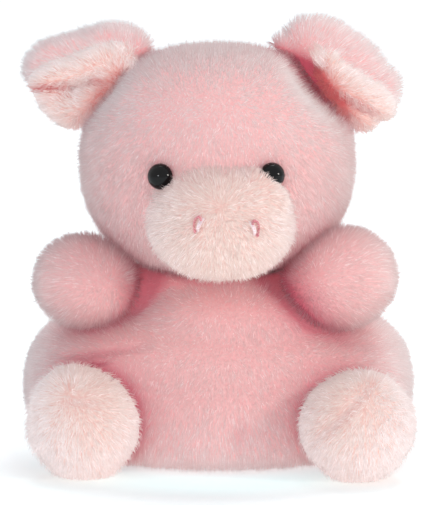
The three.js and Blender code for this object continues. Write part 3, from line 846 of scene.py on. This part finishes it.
def strands_piece(name, vertices, shading, long, values):
    """One mesh of strands, with what its material reads on each point."""
    count, each = vertices.shape[:2]
    last = each - 1
    top = last - 3
    pattern = [[2, 1, 0]] + [[top + i, top + (i + 1) % 3, last] for i in range(3)]
    if long:
        pattern += [[i, (i + 1) % 3, 3 + (i + 1) % 3] for i in range(3)]
        pattern += [[i, 3 + (i + 1) % 3, 3 + i] for i in range(3)]
    faces = (np.array(pattern)[None] + np.arange(count)[:, None, None] * each).reshape(-1, 3)
    piece = mesh_object(name, vertices.reshape(-1, 3), faces)
    tips = LONG_TIPS if long else SHORT_TIPS
    repeated = {label: np.repeat(numbers, each) for label, numbers in values.items()}
    set_values(piece, tip=np.tile(tips, count), **repeated)
    across = math.ceil(math.sqrt(count))
    cell = np.stack([np.arange(count) % across, np.arange(count) // across], axis=1)
    within = np.array([[0.2 + 0.3 * (i % 3), 0.15 + 0.7 * tip] for i, tip in enumerate(tips)])
    places = (cell[:, None] + within[None]) / across
    layer = piece.data.uv_layers.new(name="OFBake")
    layer.uv.foreach_set("vector", places.reshape(-1, 2)[faces.ravel()].astype(np.float32).ravel())
    piece.data.normals_split_custom_set_from_vertices(shading.reshape(-1, 3))
    return piece


def no_painted_shade(points):
    return np.zeros(len(points))


def cover(name, node, body, look, skin, deep=no_painted_shade):
    """The cloth of one bag, which stands for its CAD cover."""
    points, faces = skin
    piece = mesh_object(name, points, faces)
    set_values(piece, deep=deep(points))
    piece.data.materials.append(look.cloth)
    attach(piece, body)
    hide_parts(node)


def clear_of(*shapes, depth=1.5):
    """Says which roots no other part covers, and none under the toy."""

    def keep(roots, normals):
        free = (roots[:, 2] > 0.6) | (normals[:, 2] > -0.5)
        for shape in shapes:
            free &= shape(roots) > -depth
        return free

    return keep


def both(*tests):
    """Says which roots pass all the tests."""
    return lambda roots, normals: np.all([test(roots, normals) for test in tests], axis=0)


def filling(
    name, node, body, shape, box,
    level=2.9, lumps=0.5, cell=2.0, material=WADDING,
):
    """Loose filling: a lumpy closed form under the cloth."""

    def lumpy(points):
        return shape(points) + lumps * (2 * noise(points, 5.0, 21) - 1)

    piece = mesh_object(name, *skin_of(lumpy, level, box, cell))
    piece.data.materials.append(material)
    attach(piece, body)
    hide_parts(node)


def detail(name, node, body, mesh, material, slot):
    """A small rigid piece that stands for its CAD node."""
    piece = mesh_object(name, *mesh)
    piece.data.materials.append(material)
    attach(piece, body)
    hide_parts(node)


def refinish(node, material):
    """Gives a CAD node that stays its material."""
    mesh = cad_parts[node].data
    mesh.materials.clear()
    mesh.materials.append(material)


def add_body():
    box = box_round((0, 0, 30), (112, 92, 66))
    skin = skin_of(on_floor(trunk_shape), PILE, box)
    touch = painted_crease_shade(*limbs, head_shape, muzzle_shape)

    # Painted shade towards the limbs, head and muzzle, less on the back, and in the body's folds
    def deep(points):
        behind = np.clip((points[:, 1] + 4) / 12, 0, 1)
        folds = np.clip(body_folds(points) / 1.8, 0, 0.6)
        return np.clip((1 - 0.7 * behind) * touch(points) + folds, 0, 1)

    cover("body_skin", "body_cover", "body", PINK, skin, deep)
    grow("body_fur", "body", PINK, skin, flow_down, clear_of(*limbs, head_shape, muzzle_shape), deep)

    def above_beans(points):
        return np.maximum(plain_trunk(points), BEAN_LEVEL + PILE + WADDING_GAP - points[:, 2])

    def beans(points):
        return np.maximum(on_floor(plain_trunk)(points), points[:, 2] + PILE + POUCH_GAP - BEAN_LEVEL)

    filling("body_wadding", "body_stuffing", "body", above_beans, box)
    filling(
        "pellet_pouch", "bean_pouch", "body", beans, box,
        lumps=0.3, material=POUCH_CLOTH,
    )


def add_neck():
    inner = NECK_DOME + NECK_GAP
    outer = inner + NECK_PAD

    def pad(points):
        gap = np.linalg.norm(points - np.array(NECK_POINT), axis=1)
        return np.max([gap - outer, inner - gap, NECK_POINT[2] + NECK_DOME - points[:, 2]], axis=0)

    box = box_round(NECK_POINT, (2 * outer,) * 3)
    filling("neck_wadding", "neck_stuffing", "neck_pad", pad, box, level=0.1, lumps=0.1, cell=0.8)
    refinish("neck_seam_thread", SEAM_THREAD)


def add_head():
    box = box_round(HEAD_CENTRE, HEAD_SIZE)
    skin = skin_of(head_shape, PILE, box)
    touch = painted_crease_shade(*arm_shapes.values(), plain_trunk, *ears.values())

    # Painted shade towards the arms, trunk and ears, and round the front of each eye
    def deep(points):
        eye_shade = 0.3 * np.exp(-np.clip(eye_gap(points), 0, None) / 1.2) * (points[:, 1] < 0)
        return np.clip(touch(points) + eye_shade, 0, 1)

    def past_eyes(roots, normals):
        return (eye_gap(roots) > 0.1) | (roots[:, 1] > 0)

    cover("head_skin", "head_cover", "head", PINK, skin, deep)
    keep = both(clear_of(muzzle_shape, neck_dome, *ears.values()), past_eyes)
    grow("head_fur", "head", PINK, skin, flow_to(CHIN), keep, deep, lean=0.7)
    filling("head_wadding", "head_stuffing", "head", pressed(head_shape, neck_dome, HEAD_FILL_GAP), box)


def add_muzzle():
    box = box_round(MUZZLE_CENTRE, MUZZLE_SIZE)
    skin = skin_of(muzzle_shape, PILE, box, cell=0.8)

    # Painted shade where the muzzle meets the head
    def deep(points):
        return 0.32 * near(head_shape, reach=4)(points) ** 1.5

    def by_eye(roots):
        """How much a root lies beside the left eye, where the fur is short."""
        return np.clip(1.6 * np.exp(-np.linalg.norm(roots - eyes["left"][0], axis=1) / 6), 0, 1)

    def length(roots):
        rim = 1.4 * near(head_shape, reach=4)(roots) * (1 - by_eye(roots))
        return (2.5 - by_eye(roots) + rim) * np.clip(0.45 + nostril_gap(roots) / 6, 0, 1)

    def keep(roots, normals):
        outside = head_shape(roots)
        return (nostril_gap(roots) > 1.9) & (outside > -1.6) & ((eye_gap(roots) > -1.5) | (outside > 0.5))

    cover("muzzle_skin", "muzzle_cover", "head", PALE, skin, deep)
    nap = flow_from(NOSE, 0.25)
    grow("muzzle_fur", "head", PALE, skin, nap, keep, deep, length=length, long=True, lean=0.8)
    fill_shape = pressed(muzzle_shape, head_shape, MUZZLE_FILL_GAP)
    filling("muzzle_wadding", "muzzle_stuffing", "head", fill_shape, box)


def turned_frame(direction, turn=0.0):
    """Axes on a surface: across, up and out."""
    up = unit(UP - direction * direction[2])
    across = np.cross(up, direction)
    cos, sin = math.cos(math.radians(turn)), math.sin(math.radians(turn))
    return np.stack([across * cos + up * sin, up * cos - across * sin, direction])


def tube(rings, start, end):
    """A closed tube through rings of points, with its ends drawn to two points."""
    sides = len(rings[0])
    points = np.concatenate([*rings, [start], [end]])
    last = (len(rings) - 1) * sides
    faces = []
    for side in range(sides):
        ahead = (side + 1) % sides
        faces.append([len(points) - 2, ahead, side])
        faces.append([len(points) - 1, last + side, last + ahead])
        for low in range(0, last, sides):
            faces.append([low + side, low + ahead, low + sides + ahead])
            faces.append([low + side, low + sides + ahead, low + sides + side])
    return points, np.array(faces)


def circle(centre, radius, across, up, sides):
    angles = np.linspace(0, 2 * math.pi, sides, endpoint=False)[:, None]
    return np.array(centre) + radius * (across * np.cos(angles) + up * np.sin(angles))


def add_eye(side):
    """A glossy black dome with its shank, and the washer that holds it."""
    point, direction = eyes[side]
    across, up, out = turned_frame(direction)
    back = EYE_STAND - EYE_SEAT
    dome = [
        (EYE_RADIUS * math.cos(angle), back + EYE_HEIGHT * math.sin(angle))
        for angle in np.linspace(0, math.pi / 2, 20, endpoint=False)
    ]
    rim = back - EYE_BEVEL
    shank = [(SHANK_RADIUS, -SHANK_DEPTH), (SHANK_RADIUS, rim), (EYE_RADIUS - EYE_BEVEL, rim)]
    rings = [circle(point + out * height, radius, across, up, 64) for radius, height in shank + dome]
    mesh = tube(rings, point - SHANK_DEPTH * out, point + (back + EYE_HEIGHT) * out)
    detail(f"{side}_glossy_eye", f"{side}_eye", "head", mesh, BLACK_GLOSS, "black_eye")
    refinish(f"{side}_eye_washer", WASHER_PLASTIC)


def drop(share, width, height):
    """A point on a drop-shaped outline, narrower at the bottom, for a share of the way round."""
    angle = 2 * math.pi * share
    narrow = 0.75 + 0.25 * math.cos(angle)
    return np.array([width / 2 * math.sin(angle) * narrow, height / 2 * math.cos(angle), 0])


def stitch(start, end, height, radius):
    """A thread that arches from one point to another and dips in at both ends."""
    along = unit(end - start)
    aside = np.cross(UP, along)
    rings = []
    for share in np.linspace(0, 1, 7):
        bow = math.sin(math.pi * share)
        centre = start + (end - start) * share + UP * height * bow
        rings.append(circle(centre, radius * (0.45 + 0.55 * math.sqrt(bow)), aside, UP, 6))
    return tube(rings, start, end)


def joined(parts):
    """Several meshes as one."""
    starts = np.cumsum([0] + [len(points) for points, _ in parts[:-1]])
    points = np.concatenate([points for points, _ in parts])
    return points, np.concatenate([faces + start for (_, faces), start in zip(parts, starts)])


def add_nostril(side):
    """Embroidery: pink stitches round the top and outer side of a drop, and satin beside them."""
    point, direction = nostrils[side]
    outward = 1 if side == "left" else -1
    axes = turned_frame(direction, NOSTRIL_TURNS[side]) * [[outward], [1], [1]]

    def placed(stitches):
        points, faces = joined(stitches)
        return point + points @ axes, faces if outward == 1 else faces[:, ::-1]

    outline = []
    sink = OUTLINE_SINK * UP
    for share in np.arange(*OUTLINE_SHARES):
        outer = drop(share, NOSTRIL_WIDTH, NOSTRIL_HEIGHT)
        inner = drop(share + 0.02, NOSTRIL_WIDTH - 2.2, NOSTRIL_HEIGHT - 1.8)
        outline.append(stitch(outer - sink, inner - sink, OUTLINE_RISE, OUTLINE_RADIUS))
    satin = []
    for share in np.linspace(0, 1, SATIN_STITCHES):
        top = np.array([-1.5 + 0.9 * share, 0.42 * NOSTRIL_HEIGHT, -SATIN_SINK])
        bottom = np.array([-0.5 + 0.5 * share, -0.4 * NOSTRIL_HEIGHT, -SATIN_SINK])
        satin.append(stitch(top, bottom, SATIN_RISE, SATIN_RADIUS))
    names = f"{side}_nostril_stitches", f"{side}_nostril_stitching"
    detail(*names, "head", placed(outline), NOSTRIL_THREAD, "nostril_thread")
    names = f"{side}_nostril_satin", f"{side}_nostril_patch"
    detail(*names, "head", placed(satin), NOSTRIL_SATIN, "nostril_satin")


def add_arm(side):
    arm = ARMS[side]
    shape = pressed(pressed(arm_shapes[side], plain_trunk, -PRESS), head_shape, -PRESS, blend=1.0)
    box = box_round((np.array(arm["shoulder"]) + arm["paw"]) / 2, (48, 34, 40))
    skin = skin_of(shape, PILE, box, cell=0.9)
    touch = painted_crease_shade(plain_trunk, head_shape, muzzle_shape)

    # Painted shade towards the trunk, head and muzzle, and on the arm's front away from the paw
    def deep(points):
        inward = np.linalg.norm(points - np.array(arm["paw"]), axis=1) - ARM_SHADE_REACH
        front = np.clip(-points[:, 1] / 6, 0, 1)
        return np.clip(touch(points) + np.clip(inward / 6, 0, 1) * front, 0, 1)

    cover(f"{side}_arm_skin", f"{side}_arm_cover", f"{side}_arm", PINK, skin, deep)
    keep = clear_of(plain_trunk, head_shape, muzzle_shape, depth=0.9)
    grow(f"{side}_arm_fur", f"{side}_arm", PINK, skin, flow_from(arm["shoulder"], 0.2), keep, deep)
    filling(f"{side}_arm_wadding", f"{side}_arm_stuffing", f"{side}_arm", shape, box)


def add_foot(side):
    foot = FEET[side]
    plain = pressed(foot_shapes[side], plain_trunk, -PRESS)
    shape = on_floor(lambda points: plain(points) + fold(points, *foot["fold"]))
    box = box_round(foot["at"], foot["size"], margin=4)
    skin = skin_of(shape, PILE, box, cell=0.9)

    # Painted shade along the seam to the body and in the foot's fold
    def deep(points):
        seam = 0.5 * near(plain_trunk, reach=1.5)(points) ** 2
        return np.clip(seam + fold(points, *foot["fold"]) / 3, 0, 1)

    cover(f"{side}_foot_skin", f"{side}_foot_cover", f"{side}_foot", PALE, skin, deep)
    nap = flow_from(foot["whorl"], 0.3)
    keep = clear_of(plain_trunk)
    grow(
        f"{side}_foot_fur", f"{side}_foot", PALE, skin, nap, keep, deep,
        density=7, length=2.9, long=True, lean=1.0,
    )
    filling(f"{side}_foot_wadding", f"{side}_foot_stuffing", f"{side}_foot", shape, box)


def add_ear(side):
    shape = pressed(ears[side], head_shape, -PRESS)
    pads, rolls = ear_part(side, "pads"), ear_part(side, "rolls")

    def lining_shape(points):
        """The pale cloth: a thin pad over the front of the ear."""
        edge = (pads(points) - rolls(points)) / 2
        return np.max([shape(points) - LINING_STAND, edge - PILE, points[:, 1] - 2 - PILE], axis=0)

    def is_lining(roots, normals):
        return (pads(roots) < rolls(roots)) & (normals[:, 1] < 0.4)

    def is_back(roots, normals):
        return ~is_lining(roots, normals)

    # Painted shade along the seam to the head and in the ear's folds
    def deep(points):
        seam = EARS[side]["seam"] * near(plain_head, reach=2.5)(points) ** 1.3
        return np.clip(seam + ear_folds(side, points) / 2, 0, 1)

    skin = skin_of(shape, PILE, EAR_BOXES[side], cell=0.8)
    lining = skin_of(lining_shape, PILE, EAR_BOXES[side], cell=0.8)
    cover(f"{side}_ear_skin", f"{side}_ear_back", f"{side}_ear", PINK, skin, deep)
    cover(f"{side}_ear_inner_skin", f"{side}_ear_lining", f"{side}_ear", LINING, lining, deep)
    nap = flow_from(HEAD_CENTRE)
    covered = clear_of(head_shape, depth=1.2)
    grow(f"{side}_ear_fur", f"{side}_ear", PINK, skin, nap, both(covered, is_back), deep, length=3.3)
    grow(
        f"{side}_ear_inner_fur", f"{side}_ear", LINING, skin, nap, both(covered, is_lining), deep,
        length=3.2, long=True, lean=1.0,
    )
    start, end = (np.array([x, LOCK_DEPTH, z]) for x, z in LOCKS[side])

    def by_lock(roots, normals):
        return (np.linalg.norm((roots - start)[:, [0, 2]], axis=1) < LOCK_SPREAD) & (normals[:, 1] < -0.2)

    grow(
        f"{side}_ear_lock", f"{side}_ear", LINING, skin, flow_to(end), by_lock, no_painted_shade,
        density=6, length=7.5, long=True, lean=1.2,
    )


def tail_middle(share):
    """The middle of the tail: out from the back in a growing curl."""
    turn = 2 * math.pi * TAIL_TURNS * share
    radius = TAIL_CURL_RADIUS * min(1, 2 * share)
    x, y, z = TAIL_ROOT
    out = y - TAIL_SEAT + (TAIL_LENGTH + TAIL_SEAT) * share
    return np.array([x + radius * math.sin(turn), out, z + radius * math.cos(turn)])


def add_tail():
    shares = np.linspace(0, 1, 40)
    middles = [tail_middle(share) for share in shares]
    radii = np.interp(shares, (0, 1), TAIL_RADII)

    def curl(points):
        return np.min([np.linalg.norm(points - m, axis=1) - r for m, r in zip(middles, radii)], axis=0)

    shape = pressed(curl, plain_trunk, 0.3, blend=0.3)
    box = box_round(np.array(TAIL_ROOT) + (0, TAIL_LENGTH / 2, 0), (16, 18, 16))
    skin = skin_of(shape, TAIL_PILE, box, cell=0.5)
    cover("tail_skin", "tail", "tail", PINK, skin)
    keep = clear_of(plain_trunk)
    grow("tail_fur", "tail", PINK, skin, flow_from(TAIL_ROOT), keep, no_painted_shade, length=1.5, lean=0.9)


# Camera, floor, sky and lamps
def add_camera():
    back = Vector((0, -math.cos(VIEW_ELEVATION), math.sin(VIEW_ELEVATION)))
    camera = bpy.data.objects.new("camera", bpy.data.cameras.new("camera"))
    bpy.context.scene.collection.objects.link(camera)
    camera.data.lens = VIEW_DISTANCE / MM_PER_PIXEL * SENSOR / FRAME_HEIGHT
    camera.data.sensor_width = SENSOR
    camera.location = (Vector(VIEW_TARGET) + back * VIEW_DISTANCE) * MM
    camera.rotation_euler = (-back).to_track_quat("-Z", "Y").to_euler()
    bpy.context.scene.camera = camera


def add_lamp(name, place, size, power, color):
    lamp = bpy.data.lights.new(name, "AREA")
    lamp.size = size
    lamp.energy = power
    lamp.color = color
    light = bpy.data.objects.new(name, lamp)
    bpy.context.scene.collection.objects.link(light)
    light.location = place
    light.rotation_euler = (Vector(LAMPS_AIM) - Vector(place)).to_track_quat("-Z", "Y").to_euler()


def background_rays(nodes, links):
    """1 for the rays that see the white background: from the camera, by gloss and through glass."""
    path = nodes.new("ShaderNodeLightPath")
    total = path.outputs["Is Camera Ray"]
    for label in ("Is Glossy Ray", "Is Transmission Ray"):
        larger = nodes.new("ShaderNodeMath")
        larger.operation = "MAXIMUM"
        links.new(total, larger.inputs[0])
        links.new(path.outputs[label], larger.inputs[1])
        total = larger.outputs[0]
    return total


def add_floor():
    corners = FLOOR_REACH * np.array([[-1, -1, 0], [1, -1, 0], [1, 1, 0], [-1, 1, 0]])
    floor = mesh_object("floor", corners, np.array([[0, 1, 2, 3]]))
    paint = Painter("floor")
    paint.shader.inputs["Base Color"].default_value = FLOOR_COLOR
    paint.shader.inputs["Roughness"].default_value = 1
    glow = paint.node("ShaderNodeEmission")
    add = paint.node("ShaderNodeAddShader", paint.shader.outputs[0], glow.outputs[0])
    place = paint.node("ShaderNodeTexCoord").outputs["Object"]
    away = paint.node("ShaderNodeVectorMath", place, operation="LENGTH").outputs["Value"]
    # A painted shadow: the glow that is seen is dimmer and less red near the toy
    glow_with_painted_shadow = paint.ramp(away, *PAINTED_FLOOR_SHADOW)
    other_rays = paint.math("SUBTRACT", 1, background_rays(paint.nodes, paint.links))
    paint.links.new(paint.mix(other_rays, glow_with_painted_shadow, FLOOR_GLOW), glow.inputs["Color"])
    paint.links.new(add.outputs[0], paint.nodes["Material Output"].inputs["Surface"])
    floor.data.materials.append(paint.material)


def add_sky():
    """A plain sky that lights the toy, and white for the rays that see the background."""
    world = bpy.data.worlds.new("studio")
    bpy.context.scene.world = world
    world.use_nodes = True
    nodes, links = world.node_tree.nodes, world.node_tree.links
    sky = nodes["Background"]
    sky.inputs["Color"].default_value = SKY_COLOR
    sky.inputs["Strength"].default_value = SKY_STRENGTH
    white = nodes.new("ShaderNodeBackground")
    mix = nodes.new("ShaderNodeMixShader")
    links.new(background_rays(nodes, links), mix.inputs[0])
    links.new(sky.outputs[0], mix.inputs[1])
    links.new(white.outputs[0], mix.inputs[2])
    links.new(mix.outputs[0], nodes["World Output"].inputs["Surface"])
    white.inputs["Color"].default_value = (1, 1, 1, 1)


add_camera()
add_body()
add_neck()
add_head()
add_muzzle()
for side in SIDES:
    add_eye(side)
    add_nostril(side)
    add_arm(side)
    add_foot(side)
    add_ear(side)
add_tail()
add_floor()
add_sky()
for name, lamp in LAMPS.items():
    add_lamp(name, **lamp)
bpy.context.scene.view_settings.view_transform = "Standard"
